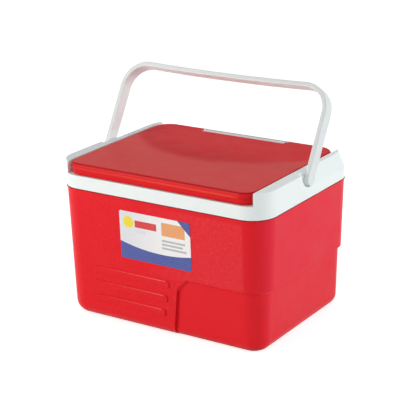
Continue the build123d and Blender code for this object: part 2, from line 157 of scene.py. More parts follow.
def startGroup(name, inputs, outputs):
    tree = bpy.data.node_groups.new(name, "ShaderNodeTree")
    for label, kind, value in inputs:
        socket = tree.interface.new_socket(label, in_out="INPUT", socket_type="NodeSocket" + kind)
        if value is not None:
            socket.default_value = value
    for label, kind in outputs:
        tree.interface.new_socket(label, in_out="OUTPUT", socket_type="NodeSocket" + kind)
    entry = tree.nodes.new("NodeGroupInput")
    entry.location = (-900, 0)
    ending = tree.nodes.new("NodeGroupOutput")
    ending.location = (900, 0)
    return tree, entry.outputs, ending.inputs


def useGroup(tree, group, place, **values):
    node = put(tree, "Group", place, node_tree=group)
    return fill(node, **values)


# Moulded plastic: soft patches of a second colour, uneven gloss and a fine ripple
mouldedSkin, given, made = startGroup(
    "mouldedSkin",
    [
        ("Vector", "Vector", None),
        ("Colour", "Color", (0.8, 0.8, 0.8, 1)),
        ("Patch Colour", "Color", (0.7, 0.7, 0.7, 1)),
        ("Patch Scale", "Float", 6.0),
        ("Low Gloss", "Float", 0.45),
        ("High Gloss", "Float", 0.35),
        ("Ripple Scale", "Float", 260.0),
    ],
    [("Colour", "Color"), ("Roughness", "Float"), ("Height", "Float")],
)
patches = noise(mouldedSkin, (-600, 200), given["Vector"], Detail=3.0, Roughness=0.55)
join(mouldedSkin, given["Patch Scale"], patches.inputs["Scale"])
patchMask = spread(mouldedSkin, (-350, 200), patches.outputs["Fac"], 0.32, 0.7, 0.0, 1.0, smooth=True)
patched = blendColour(mouldedSkin, (100, 250), patchMask, given["Colour"], given["Patch Colour"])
join(mouldedSkin, patched, made["Colour"])
gloss = noise(mouldedSkin, (-600, -50), given["Vector"], Scale=34.0, Detail=4.0, Roughness=0.6)
join(
    mouldedSkin,
    spread(mouldedSkin, (-350, -50), gloss.outputs["Fac"], *noiseRange, given["High Gloss"], given["Low Gloss"]),
    made["Roughness"],
)
ripple = noise(mouldedSkin, (-600, -300), given["Vector"], Detail=2.0, Roughness=0.5)
join(mouldedSkin, given["Ripple Scale"], ripple.inputs["Scale"])
join(mouldedSkin, ripple.outputs["Fac"], made["Height"])

# Rub marks: a net of thin lines, broken up by a noise into short ones
rubMarks, given, made = startGroup(
    "rubMarks",
    [
        ("Vector", "Vector", None),
        ("Colour", "Color", (0.8, 0.8, 0.8, 1)),
        ("Mark Colour", "Color", (0.9, 0.9, 0.9, 1)),
        ("Scale", "Float", 40.0),
        ("Amount", "Float", 0.4),
    ],
    [("Colour", "Color")],
)
warp = noise(rubMarks, (-700, 250), given["Vector"], Scale=9.0, Detail=2.0)
bent = put(rubMarks, "Mix", (-500, 250), data_type="VECTOR")
bent.inputs[0].default_value = 0.06
join(rubMarks, given["Vector"], bent.inputs[4])
join(rubMarks, warp.outputs["Color"], bent.inputs[5])
lines = put(rubMarks, "TexVoronoi", (-300, 250), feature="DISTANCE_TO_EDGE")
join(rubMarks, bent.outputs[1], lines.inputs["Vector"])
join(rubMarks, given["Scale"], lines.inputs["Scale"])
thin = spread(rubMarks, (-100, 250), lines.outputs["Distance"], 0.0, 0.03, 1.0, 0.0)
breaks = noise(rubMarks, (-500, -50), given["Vector"], Scale=48.0, Detail=3.0)
broken = spread(rubMarks, (-300, -50), breaks.outputs["Fac"], 0.60, 0.70, 0.0, 1.0)
marks = product(rubMarks, (200, 150), thin, broken, given["Amount"])
join(rubMarks, blendColour(rubMarks, (500, 100), marks, given["Colour"], given["Mark Colour"]), made["Colour"])

# Dust that lies on faces that look up, and thins out towards the walls
settledDust, given, made = startGroup(
    "settledDust",
    [
        ("Vector", "Vector", None),
        ("Facing", "Vector", None),
        ("Colour", "Color", (0.8, 0.8, 0.8, 1)),
        ("Dust Colour", "Color", (0.6, 0.57, 0.53, 1)),
        ("Amount", "Float", 0.12),
    ],
    [("Colour", "Color")],
)
lookingUp = split(settledDust, (-600, 200), given["Facing"])[2]
upward = spread(settledDust, (-400, 200), lookingUp, 0.55, 0.95, 0.0, 1.0)
cloud = noise(settledDust, (-600, -50), given["Vector"], Scale=11.0, Detail=6.0, Roughness=0.65)
clumps = spread(settledDust, (-400, -50), cloud.outputs["Fac"], 0.38, 0.68, 0.0, 1.0)
film = product(settledDust, (0, 100), upward, clumps, given["Amount"])
join(settledDust, blendColour(settledDust, (300, 50), film, given["Colour"], given["Dust Colour"]), made["Colour"])

# Pebble grain of a textured mould face
pebbleGrain, given, made = startGroup(
    "pebbleGrain",
    [("Vector", "Vector", None), ("Scale", "Float", 420.0), ("Mask", "Float", 1.0)],
    [("Height", "Float"), ("Pits", "Float"), ("Peaks", "Float")],
)
pebbles = put(pebbleGrain, "TexVoronoi", (-500, 200), feature="SMOOTH_F1")
fill(pebbles, Smoothness=0.6, Randomness=1.0)
join(pebbleGrain, given["Vector"], pebbles.inputs["Vector"])
join(pebbleGrain, given["Scale"], pebbles.inputs["Scale"])
rounded = spread(pebbleGrain, (-250, 200), pebbles.outputs["Distance"], 0.05, 0.6, 1.0, 0.0, smooth=True)
join(pebbleGrain, product(pebbleGrain, (50, 200), rounded, given["Mask"]), made["Height"])
flecks = noise(pebbleGrain, (-500, -100), given["Vector"], Scale=190.0, Detail=2.0, Roughness=0.7)
pits = spread(pebbleGrain, (-250, -100), flecks.outputs["Fac"], 0.58, 0.70, 0.0, 1.0)
join(pebbleGrain, product(pebbleGrain, (50, -100), pits, given["Mask"]), made["Pits"])
peaks = spread(pebbleGrain, (-250, -300), flecks.outputs["Fac"], 0.30, 0.42, 1.0, 0.0)
join(pebbleGrain, product(pebbleGrain, (50, -300), peaks, given["Mask"]), made["Peaks"])

# Open cells of a foam
foamCells, given, made = startGroup(
    "foamCells",
    [
        ("Vector", "Vector", None),
        ("Colour", "Color", (0.4, 0.4, 0.4, 1)),
        ("Cell Colour", "Color", (0.2, 0.2, 0.2, 1)),
        ("Scale", "Float", 600.0),
    ],
    [("Colour", "Color"), ("Height", "Float")],
)
cells = put(foamCells, "TexVoronoi", (-500, 150), feature="F1")
join(foamCells, given["Vector"], cells.inputs["Vector"])
join(foamCells, given["Scale"], cells.inputs["Scale"])
walls = spread(foamCells, (-250, 150), cells.outputs["Distance"], 0.12, 0.55, 0.0, 1.0, smooth=True)
lumps = noise(foamCells, (-500, -150), given["Vector"], Scale=60.0, Detail=5.0, Roughness=0.6)
shade = calc(foamCells, (0, -50), "MULTIPLY", walls, lumps.outputs["Fac"], clamp=True)
join(foamCells, blendColour(foamCells, (250, 50), shade, given["Cell Colour"], given["Colour"]), made["Colour"])
join(foamCells, walls, made["Height"])
print("finish groups built: 5")


# A new material with its Principled shader, its coordinates and its tree
def startMaterial(name):
    material = bpy.data.materials.new(name)
    material.use_nodes = True
    tree = material.node_tree
    shader = tree.nodes["Principled BSDF"]
    shader.location = (900, 0)
    tree.nodes["Material Output"].location = (1200, 0)
    coordinates = put(tree, "TexCoord", (-1200, 0))
    return material, tree, shader, coordinates.outputs


def raiseSurface(tree, shader, height, distance):
    bump = put(tree, "Bump", (650, -300))
    fill(bump, Strength=1.0, Distance=distance)
    join(tree, height, bump.inputs["Height"])
    join(tree, bump.outputs["Normal"], shader.inputs["Normal"])


def addSkin(tree, where, look):
    skin = useGroup(
        tree, mouldedSkin, (-700, 200), Colour=look["colour"], PatchColour=look["patchColour"],
        PatchScale=look["patchScale"], LowGloss=look["lowGloss"], HighGloss=look["highGloss"],
        RippleScale=look["rippleScale"],
    )
    join(tree, where["Object"], skin.inputs["Vector"])
    return skin.outputs


def addWear(tree, where, colour, look):  # rub marks over a colour, and dust over both where the look has some
    worn = useGroup(
        tree, rubMarks, (350, 200), MarkColour=look["scuffColour"], Scale=look["scuffScale"], Amount=look["scuffs"]
    )
    join(tree, where["Object"], worn.inputs["Vector"])
    join(tree, colour, worn.inputs["Colour"])
    if "dust" in look:
        clean = worn.outputs["Colour"]
        worn = useGroup(tree, settledDust, (550, 200), DustColour=look["dustColour"], Amount=look["dust"])
        join(tree, where["Object"], worn.inputs["Vector"])
        join(tree, where["Normal"], worn.inputs["Facing"])
        join(tree, clean, worn.inputs["Colour"])
    return worn.outputs["Colour"]


def dress(material, *names):
    for name in names:
        nodes[name].material_slots[0].material = material


# Red shell: textured on the flat of its front above the stepped recess, smooth elsewhere
redShell = {
    "colour": (0.78, 0.009, 0.017, 1),
    "patchColour": (0.75, 0.011, 0.020, 1),
    "patchScale": 5.0,
    "lowGloss": 0.50,
    "highGloss": 0.38,
    "rippleScale": 240.0,
    "ripple": 0.12,
    "relief": 0.0004,
    "specular": 0.16,
    "scuffColour": (0.80, 0.16, 0.15, 1),
    "scuffScale": 60.0,
    "scuffs": 0.12,
    "dustColour": (0.50, 0.20, 0.18, 1),
    "dust": 0.15,
    # the flat of the front
    "frontFace": -0.1287,  # Y of the front at the top of the shell
    "frontTop": 0.1963,
    "frontLean": 0.0262,  # how far the wall goes in for each metre down
    "frontDepth": 0.0008,
    "frontBlur": 0.0004,
    # the grain on it, with painted shade in its pits and painted highlight on its peaks, stronger to the right
    "grainScale": 430.0,
    "grainHalfWidth": 0.137,
    "grainBlur": 0.002,
    "grainTop": 0.186,
    "grainTopBlur": 0.004,
    "grainDull": 0.10,
    "pitColour": (0.46, 0.006, 0.010, 1),
    "peakColour": (0.88, 0.100, 0.105, 1),
    "peakShare": 0.75,
    "fleckLeft": -0.03,  # flecks are few left of here
    "fleckRight": 0.06,
    "fewFlecks": 0.10,
    "allFlecks": 0.40,
    "fieldColour": (0.80, 0.060, 0.075, 1),  # scattered light from the grain
    "fieldLeft": -0.03,
    "fieldRight": 0.05,
    "field": 0.25,
    "fieldLow": 0.086,
    "fieldHigh": 0.090,
    # painted highlight along the upper edges of the three bars, fading to the left
    "barColour": (0.90, 0.170, 0.160, 1),
    "barFoot": 0.0385,
    "barPitch": 0.022,
    "barHalf": 0.0003,
    "barBlur": 0.0005,
    "barWear": 0.75,
    "barSlope": 0.1818,  # each bar down ends 4 mm sooner
    "barEnd": -0.0011,
    "barEndSolid": -0.004,
    "barEndClear": -0.0025,
    "barStart": -0.105,
    "barFull": 0.0,
    "barMiddle": 0.061,
    "barsHalf": 0.0235,
    "barsBlur": 0.001,
    "barFront": -0.122,
    "barBack": -0.118,
    # painted sheen: the right end is a little cooler and paler, with a painted highlight along its step
    "endColour": (0.775, 0.014, 0.036, 1),
    "endStart": 0.154,
    "endBlur": 0.012,
    "edgeColour": (0.86, 0.200, 0.220, 1),
    "edgeHeight": 0.0884,
    "edgeHalf": 0.0003,
    "edgeBlur": 0.0006,
    "edge": 0.6,
    # painted shade in the seam under the collar and round the foot
    "seamColour": (0.085, 0.004, 0.006, 1),
    "seamTop": 0.1963,
    "seamHeight": 0.0022,
    "seamSolid": 0.0003,
    "seam": 0.85,
    "footColour": (0.30, 0.004, 0.008, 1),
    "footHeight": 0.009,
    "foot": 0.75,
}
look = redShell
shellRed, tree, shader, where = startMaterial("shellRed")
skin = addSkin(tree, where, look)
x, y, z = split(tree, (-1000, -300), where["Object"])
inPanel = band(tree, (-600, -300), x, 0.0, look["grainHalfWidth"], look["grainBlur"])
down = calc(tree, (-800, -450), "SUBTRACT", look["frontTop"], z)
wallY = calc(tree, (-650, -450), "MULTIPLY_ADD", down, look["frontLean"], look["frontFace"])
onFace = band(tree, (-400, -450), y, wallY, look["frontDepth"], look["frontBlur"])
underLip = spread(tree, (-350, -600), z, look["grainTop"], look["grainTop"] + look["grainTopBlur"], 1.0, 0.0)
grainMask = product(tree, (-150, -450), inPanel, onFace, underLip)
grain = useGroup(tree, pebbleGrain, (0, -400), Scale=look["grainScale"])
join(tree, where["Object"], grain.inputs["Vector"])
join(tree, grainMask, grain.inputs["Mask"])
# painted shade and highlight on the grain: few specks on the left, more to the right
flecks = spread(tree, (-50, -250), x, look["fleckLeft"], look["fleckRight"], look["fewFlecks"], look["allFlecks"])
pits = product(tree, (100, -100), grain.outputs["Pits"], flecks)
peaks = product(tree, (200, -100), grain.outputs["Peaks"], flecks, look["peakShare"])
# painted highlight along the upper edges of the bars
row = calc(tree, (-800, 1000), "SUBTRACT", z, look["barFoot"] - look["barPitch"] / 2)
row = calc(tree, (-750, 1000), "MODULO", row, look["barPitch"])
barHighlightLine = band(tree, (-500, 1000), row, look["barPitch"] / 2, look["barHalf"], look["barBlur"], look["barWear"])
barEnd = calc(tree, (-800, 1200), "MULTIPLY_ADD", z, look["barSlope"], look["barEnd"])
pastEnd = calc(tree, (-650, 1200), "SUBTRACT", x, barEnd)
barHighlightLine = product(
    tree, (-200, 1200), barHighlightLine,
    spread(tree, (-500, 1200), pastEnd, look["barEndSolid"], look["barEndClear"], 1.0, 0.0),
    spread(tree, (-500, 1400), x, look["barStart"], look["barFull"], 0.0, 1.0),
    band(tree, (-500, 1500), z, look["barMiddle"], look["barsHalf"], look["barsBlur"]),
    spread(tree, (-500, 1600), y, look["barFront"], look["barBack"], 1.0, 0.0),
)
field = product(
    tree, (200, 600), grainMask,
    spread(tree, (50, 600), x, look["fieldLeft"], look["fieldRight"], 0.0, look["field"]),
    spread(tree, (50, 750), z, look["fieldLow"], look["fieldHigh"], 0.0, 1.0),
)
# painted sheen on the right end and a painted highlight along its step
atEnd = spread(tree, (-400, 800), x, look["endStart"], look["endStart"] + look["endBlur"], 0.0, 1.0)
stepHighlightLine = band(tree, (-400, 600), z, look["edgeHeight"], look["edgeHalf"], look["edgeBlur"], look["edge"])
painted = paintOver(
    tree, (250, 300), skin["Colour"],
    (pits, look["pitColour"]),
    (peaks, look["peakColour"]),
    (barHighlightLine, look["barColour"]),
    (field, look["fieldColour"]),
    (atEnd, look["endColour"]),
    (product(tree, (-200, 700), stepHighlightLine, atEnd), look["edgeColour"]),
)
# painted shade under the collar and round the foot
seam = spread(
    tree, (550, 400), z, look["seamTop"] - look["seamHeight"], look["seamTop"] - look["seamSolid"], 0.0, look["seam"]
)
atFoot = spread(tree, (550, 900), z, 0.0, look["footHeight"], look["foot"], 0.0)
painted = paintOver(
    tree, (750, 200), addWear(tree, where, painted, look),
    (seam, look["seamColour"]),
    (atFoot, look["footColour"]),
)
join(tree, painted, shader.inputs["Base Color"])
duller = calc(tree, (300, -100), "MULTIPLY_ADD", grainMask, look["grainDull"], skin["Roughness"])
join(tree, duller, shader.inputs["Roughness"])
relief = calc(tree, (350, -350), "MULTIPLY_ADD", skin["Height"], look["ripple"], grain.outputs["Height"])
raiseSurface(tree, shader, relief, look["relief"])
fill(shader, SpecularIORLevel=look["specular"])
dress(shellRed, "outer_shell")
print("shell finished")


# Red lid: satin on top, glossier round its side, no grain
redLid = {
    "colour": (0.73, 0.018, 0.023, 1),
    "patchColour": (0.70, 0.014, 0.020, 1),
    "patchScale": 4.0,
    "lowGloss": 0.46,
    "highGloss": 0.34,
    "rippleScale": 220.0,
    "ripple": 0.03,
    "relief": 0.0009,
    "specular": 0.025,
    "scuffColour": (0.78, 0.25, 0.24, 1),
    "scuffScale": 55.0,
    "scuffs": 0.14,
    "dustColour": (0.45, 0.20, 0.20, 1),
    "dust": 0.03,
    # painted reflection: paler in front of a bowed line, and deepest just behind it
    "frontTint": (0.72, 0.064, 0.061, 1),
    "bandColour": (0.61, 0.006, 0.010, 1),
    "bandDepth": 0.070,
    "bandLeft": 0.02,  # the band fades from here
    "bandRight": 0.11,
    "bandLeast": 0.1,
    "bow": 3.3,
    "bowMiddle": -0.030,  # Y of that line at the middle of the lid
    "bowBlur": 0.014,
    "bowWander": 0.02,
    "bowWanderScale": 7.0,
    # the side below this level is glossier than the top
    "lipTop": 0.2325,
    "topBlur": 0.0006,
    "lipBlur": 0.001,
    "lipGloss": -0.16,
    "lipCoat": 0.025,
    "coatRoughness": 0.18,
    # painted shade at its foot and just under its top edge
    "foot": 0.2157,
    "footHeight": 0.0012,
    "footShade": 0.8,
    "footColour": (0.10, 0.006, 0.008, 1),
    "edgeLow": 0.2314,
    "edgeHigh": 0.2332,
    "edgeLowBlur": 0.0006,
    "edgeHighBlur": 0.0004,
    "edgeShade": 0.7,
    "edgeColour": (0.26, 0.006, 0.010, 1),
    # a fine raised line round the side, with a painted highlight along the front
    "ridge": 0.2256,
    "ridgeHalf": 0.0024,
    "ridgeColour": (0.92, 0.085, 0.045, 1),
    "ridgeFront": -0.118,
    "ridgeBack": -0.110,
    "ridgeLeft": -0.14,
    "ridgeRight": 0.08,
    "ridgeLeast": 0.35,
    "ridgeMost": 0.8,
    "ridgeStop": 0.122,
    "ridgeGone": 0.136,
    # the strip over the hinge is white
    "hingeColour": (0.78, 0.73, 0.73, 1),
    "hingeHalf": 0.0705,
    "hingeFront": 0.1000,
    "hingeSideBlur": 0.0002,
    "hingeFrontBlur": 0.0003,
}
look = redLid
lidRed, tree, shader, where = startMaterial("lidRed")
skin = addSkin(tree, where, look)
x, y, z = split(tree, (-1000, -300), where["Object"])
# painted reflection on the top of the lid, paler in front of a bowed line and darker behind it
wander = noise(tree, (-1000, 400), where["Object"], Scale=look["bowWanderScale"], Detail=1.0)
bowed = calc(tree, (-900, 500), "MULTIPLY_ADD", product(tree, (-950, 600), x, x), -look["bow"], y)
bowed = calc(tree, (-800, 400), "MULTIPLY_ADD", wander.outputs["Fac"], look["bowWander"], bowed)
bowLine = look["bowMiddle"] + look["bowWander"] / 2
onTop = spread(tree, (-600, 500), z, look["lipTop"], look["lipTop"] + look["topBlur"], 0.0, 1.0)
behind = product(
    tree, (-560, 350), onTop,
    spread(tree, (-600, 300), bowed, bowLine, bowLine + look["bandDepth"], 1.0, 0.0),
    spread(tree, (-700, 700), x, look["bandLeft"], look["bandRight"], 1.0, look["bandLeast"]),
)
inFront = product(
    tree, (-550, 450), onTop,
    spread(tree, (-600, 400), bowed, bowLine - look["bowBlur"], bowLine + look["bowBlur"], 1.0, 0.0, smooth=True),
)
painted = paintOver(
    tree, (-500, 300), skin["Colour"],
    (behind, look["bandColour"]),
    (inFront, look["frontTint"]),
)
# painted shade just under the top edge
onEdge = product(
    tree, (100, 450),
    spread(tree, (0, 400), z, look["edgeLow"] - look["edgeLowBlur"], look["edgeLow"], 0.0, look["edgeShade"]),
    spread(tree, (0, 500), z, look["edgeHigh"] - look["edgeHighBlur"], look["edgeHigh"], 1.0, 0.0),
)
ridge = band(tree, (-100, -650), z, look["ridge"], 0.0, look["ridgeHalf"], smooth=True)
# painted highlight along the ridge at the front
ridgeHighlight = product(
    tree, (250, -500), ridge,
    spread(tree, (-150, -800), y, look["ridgeFront"], look["ridgeBack"], 1.0, 0.0),
    spread(tree, (-150, -1000), x, look["ridgeLeft"], look["ridgeRight"], look["ridgeLeast"], look["ridgeMost"]),
    spread(tree, (0, -1100), x, look["ridgeStop"], look["ridgeGone"], 1.0, 0.0),
)
overHinge = product(
    tree, (0, 600),
    band(tree, (-200, 600), x, 0.0, look["hingeHalf"], look["hingeSideBlur"]),
    spread(tree, (-200, 700), y, look["hingeFront"], look["hingeFront"] + look["hingeFrontBlur"], 0.0, 1.0),
)
# painted shade at the foot of the lid
atFoot = spread(tree, (-300, -300), z, look["foot"], look["foot"] + look["footHeight"], look["footShade"], 0.0)
painted = paintOver(
    tree, (400, 300), addWear(tree, where, painted, look),
    (atFoot, look["footColour"]),
    (onEdge, look["edgeColour"]),
    (ridgeHighlight, look["ridgeColour"]),
    (overHinge, look["hingeColour"]),
)
join(tree, painted, shader.inputs["Base Color"])
lip = spread(tree, (-300, -450), z, look["lipTop"] - look["lipBlur"], look["lipTop"], 1.0, 0.0)
glossy = calc(tree, (100, -200), "MULTIPLY_ADD", lip, look["lipGloss"], skin["Roughness"])
join(tree, glossy, shader.inputs["Roughness"])
join(tree, product(tree, (300, -400), lip, look["lipCoat"]), shader.inputs["Coat Weight"])
relief = calc(tree, (300, -600), "MULTIPLY_ADD", skin["Height"], look["ripple"], ridge)
raiseSurface(tree, shader, relief, look["relief"])
fill(shader, SpecularIORLevel=look["specular"], CoatRoughness=look["coatRoughness"])
dress(lidRed, "lid_cover")
print("lid finished")


# White mouldings: collar, handle, liners and caps, each with its own tone
def whiteMoulding(name, look):
    material, tree, shader, where = startMaterial(name)
    skin = addSkin(tree, where, look)
    painted = addWear(tree, where, skin["Colour"], look)
    if "earColour" in look:  # painted shade: the top of the left ear is greyer
        x, _, z = split(tree, (-700, -300), where["Object"])
        onEar = product(
            tree, (-200, -300),
            spread(tree, (-400, -250), z, look["earTop"] - look["earBlur"], look["earTop"], 0.0, look["earShare"]),
            spread(tree, (-400, -400), x, look["earSolid"], look["earClear"], 1.0, 0.0),
        )
        painted = blendColour(tree, (200, 100), onEar, painted, look["earColour"])
    if "innerColour" in look:  # painted light: the faces that look into the loop are whiter
        x = split(tree, (-700, -300), where["Object"])[0]
        turnX, turnY, turnZ = split(tree, (-700, -500), where["Normal"])
        inward = product(tree, (-400, -350), x, turnX, -look["innerReach"])
        lean = radians(look["lean"])
        under = calc(tree, (-500, -600), "MULTIPLY", turnZ, -cos(lean))
        under = calc(tree, (-400, -550), "MULTIPLY_ADD", turnY, -sin(lean), under)
        inner = calc(tree, (-200, -450), "MAXIMUM", inward, under, clamp=True)
        painted = blendColour(tree, (200, 100), inner, painted, look["innerColour"])
    join(tree, painted, shader.inputs["Base Color"])
    join(tree, skin["Roughness"], shader.inputs["Roughness"])
    raiseSurface(tree, shader, skin["Height"], look["relief"])
    fill(shader, SpecularIORLevel=look["specular"])
    return material


plainWhite = {
    "colour": (0.84, 0.905, 0.90, 1),
    "patchColour": (0.80, 0.87, 0.87, 1),
    "patchScale": 7.0,
    "lowGloss": 0.42,
    "highGloss": 0.30,
    "rippleScale": 200.0,
    "relief": 0.00004,
    "specular": 0.4,
    "scuffColour": (0.62, 0.63, 0.62, 1),
    "scuffScale": 60.0,
    "scuffs": 0.12,
    "dustColour": (0.62, 0.61, 0.57, 1),
    "dust": 0.10,
}
whiteCollar = dict(
    plainWhite, earColour=(0.60, 0.60, 0.66, 1), earTop=0.2337, earBlur=0.0012, earShare=0.65,
    earSolid=-0.156, earClear=-0.152,
)
whiteHandle = dict(
    plainWhite, colour=(0.715, 0.765, 0.765, 1), patchColour=(0.685, 0.735, 0.735, 1), lowGloss=0.5, highGloss=0.4,
    innerColour=(0.90, 0.98, 0.98, 1), innerReach=6.0, lean=30.4,
)
whiteLiner = dict(plainWhite, colour=(0.84, 0.86, 0.86, 1), patchColour=(0.80, 0.82, 0.81, 1), scuffs=0.25, dust=0.04)
whiteCap = dict(plainWhite, colour=(0.82, 0.83, 0.82, 1), patchColour=(0.76, 0.77, 0.76, 1), patchScale=20.0, dust=0.05)
sides = ("front", "rear", "left", "right")
dress(whiteMoulding("collarWhite", whiteCollar), "collar")
dress(whiteMoulding("handleWhite", whiteHandle), "handle_bail")
dress(whiteMoulding("linerWhite", whiteLiner), "inner_tub", "lid_liner")
dress(whiteMoulding("capWhite", whiteCap), *["pack_cap_" + side for side in sides])
print("white mouldings finished")


# Coolant packs: pale blue blow-moulded walls with water behind them
bluePack = {
    "colour": (0.36, 0.55, 0.76, 1),
    "patchColour": (0.22, 0.42, 0.68, 1),
    "patchScale": 14.0,
    "lowGloss": 0.44,
    "highGloss": 0.30,
    "rippleScale": 90.0,
    "relief": 0.00025,
    "specular": 0.45,
    "scuffColour": (0.70, 0.78, 0.88, 1),
    "scuffScale": 45.0,
    "scuffs": 0.35,
    "waterColour": (0.22, 0.42, 0.68, 1),
    "waterTop": 0.168,
    "waterBlur": 0.003,
    "water": 0.35,
    "glow": 0.15,  # light that goes into the wall and comes out again
    "glowDepth": 0.004,
}
look = bluePack
packBlue, tree, shader, where = startMaterial("packBlue")
skin = addSkin(tree, where, look)
z = split(tree, (-900, -200), where["Object"])[2]
wet = spread(tree, (-700, -200), z, look["waterTop"], look["waterTop"] + look["waterBlur"], look["water"], 0.0)
filled = blendColour(tree, (-300, 100), wet, skin["Colour"], look["waterColour"])
join(tree, addWear(tree, where, filled, look), shader.inputs["Base Color"])
join(tree, skin["Roughness"], shader.inputs["Roughness"])
raiseSurface(tree, shader, skin["Height"], look["relief"])
fill(shader, SpecularIORLevel=look["specular"], SubsurfaceWeight=look["glow"], SubsurfaceScale=look["glowDepth"])
dress(packBlue, *["coolant_pack_" + side for side in sides])
print("coolant packs finished")


# Foams: rigid behind the walls, and soft for the vial pad further down
def foamMaterial(name, look):
    material, tree, shader, where = startMaterial(name)
    cells = useGroup(
        tree, foamCells, (0, 100), Colour=look["colour"], CellColour=look["cellColour"], Scale=look["cellScale"]
    )
    join(tree, where["Object"], cells.inputs["Vector"])
    join(tree, cells.outputs["Colour"], shader.inputs["Base Color"])
    dull = spread(tree, (300, -100), cells.outputs["Height"], 0.0, 1.0, look["cellRoughness"], look["wallRoughness"])
    join(tree, dull, shader.inputs["Roughness"])
    raiseSurface(tree, shader, cells.outputs["Height"], look["relief"])
    fill(shader, SpecularIORLevel=look["specular"], SheenWeight=look["sheen"])
    return material


rigidFoam = {
    "colour": (0.86, 0.78, 0.56, 1),
    "cellColour": (0.66, 0.56, 0.34, 1),
    "cellScale": 900.0,
    "cellRoughness": 0.95,
    "wallRoughness": 0.80,
    "relief": 0.0005,
    "specular": 0.5,
    "sheen": 0.0,
}
dress(foamMaterial("foamYellow", rigidFoam), "body_insulation", "lid_insulation")


# Steel hinge pins, drawn wire with fine lines along them
steelPin = {
    "colour": (0.58, 0.58, 0.60, 1),
    "darkColour": (0.42, 0.42, 0.44, 1),
    "lineScale": (30.0, 900.0, 900.0),
    "highGloss": 0.22,
    "lowGloss": 0.42,
    "relief": 0.00002,
}
look = steelPin
pinSteel, tree, shader, where = startMaterial("pinSteel")
along = put(tree, "Mapping", (-700, 0))
fill(along, Scale=look["lineScale"])
join(tree, where["Object"], along.inputs["Vector"])
drawn = noise(tree, (-450, 0), along.outputs["Vector"], Scale=1.0, Detail=3.0).outputs["Fac"]
join(tree, blendColour(tree, (0, 150), drawn, look["darkColour"], look["colour"]), shader.inputs["Base Color"])
join(tree, spread(tree, (0, -100), drawn, *noiseRange, look["highGloss"], look["lowGloss"]), shader.inputs["Roughness"])
raiseSurface(tree, shader, drawn, look["relief"])
fill(shader, Metallic=1.0)
dress(pinSteel, "hinge_pin_left", "hinge_pin_right")
print("foam and pins finished")


# Label: plain printed shapes on a pale film, measured in metres from its middle
labelLow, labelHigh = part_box("label")
labelFilm = {
    "middle": (-(labelLow[0] + labelHigh[0]) / 2, 0, -(labelLow[2] + labelHigh[2]) / 2),
    "paper": (0.88, 0.89, 0.89, 1),
    "shade": (0.72, 0.74, 0.79, 1),
    "blue": (0.052, 0.085, 0.340, 1),
    "yellow": (0.86, 0.70, 0.03, 1),
    "red": (0.66, 0.030, 0.035, 1),
    "orange": (0.80, 0.36, 0.14, 1),
    "grey": (0.46, 0.48, 0.50, 1),
    # boxes: middle across, middle up, half width, half height, colour
    "boxes": [
        (0.0310, 0.0190, 0.0190, 0.0095, "orange"),
        (0.0310, 0.0020, 0.0190, 0.0012, "grey"),
        (0.0290, -0.0035, 0.0170, 0.0012, "grey"),
        (0.0320, -0.0090, 0.0200, 0.0012, "grey"),
        (-0.0150, 0.0190, 0.0180, 0.0050, "red"),
        (-0.0240, 0.0085, 0.0090, 0.0030, "shade"),
    ],
    "disc": (-0.0440, 0.0200, 0.0085),  # middle across, middle up, radius
    "bow": (0.0100, 0.2370, 0.2560),  # the circle whose outside is the blue foot
    "corner": 0.0740,  # across plus up, past which the upper corner is blue
    "inkBlur": 0.0004,
    "cornerBlur": 0.0005,
    "shadeLeft": -0.05,
    "shadeRight": 0.02,
    "dotScale": 900.0,
    "dots": 0.05,
    "highGloss": 0.22,
    "lowGloss": 0.34,
    "relief": 0.00002,
    "specular": 0.35,
    "scuffColour": (0.85, 0.86, 0.87, 1),
    "scuffScale": 55.0,
    "scuffs": 0.3,
}
look = labelFilm
labelPrint, tree, shader, where = startMaterial("labelPrint")
centre = put(tree, "Mapping", (-1000, 0))
fill(centre, Location=look["middle"])
join(tree, where["Object"], centre.inputs["Vector"])
across, _, up = split(tree, (-800, 0), centre.outputs["Vector"])


def discMask(place, middleX, middleZ, radius):
    offX = calc(tree, place, "SUBTRACT", across, middleX)
    offZ = calc(tree, place, "SUBTRACT", up, middleZ)
    square = calc(tree, place, "ADD", product(tree, place, offX, offX), product(tree, place, offZ, offZ))
    far = calc(tree, place, "SQRT", square)
    return spread(tree, place, far, radius, radius + labelFilm["inkBlur"], 1.0, 0.0)


shaded = spread(tree, (-650, 300), across, look["shadeLeft"], look["shadeRight"], 1.0, 0.0)
printed = blendColour(tree, (-500, 300), shaded, look["paper"], look["shade"])
for middleX, middleZ, halfWidth, halfHeight, ink in look["boxes"]:
    inside = product(
        tree, (-300, 0),
        band(tree, (-400, 0), across, middleX, halfWidth, look["inkBlur"]),
        band(tree, (-400, 0), up, middleZ, halfHeight, look["inkBlur"]),
    )
    printed = blendColour(tree, (-200, 0), inside, printed, look[ink])
slope = calc(tree, (-200, -600), "ADD", across, up)
dots = noise(tree, (100, -300), where["Object"], Scale=look["dotScale"], Detail=1.0).outputs["Fac"]
printed = paintOver(
    tree, (200, 0), printed,
    (discMask((-200, -200), *look["disc"]), look["yellow"]),
    (calc(tree, (50, -400), "SUBTRACT", 1.0, discMask((-200, -400), *look["bow"])), look["blue"]),
    (spread(tree, (0, -600), slope, look["corner"], look["corner"] + look["cornerBlur"], 0.0, 1.0), look["blue"]),
    (product(tree, (300, -300), dots, look["dots"]), look["paper"]),
)
join(tree, addWear(tree, where, printed, look), shader.inputs["Base Color"])
dotGloss = spread(tree, (600, -200), dots, *noiseRange, look["highGloss"], look["lowGloss"])
join(tree, dotGloss, shader.inputs["Roughness"])
raiseSurface(tree, shader, dots, look["relief"])
fill(shader, SpecularIORLevel=look["specular"])
dress(labelPrint, "label")
print("label finished")


# Modelling helpers
def deselect():
    if bpy.context.object and bpy.context.object.mode != "OBJECT":
        bpy.ops.object.mode_set(mode="OBJECT")
    bpy.ops.object.select_all(action="DESELECT")


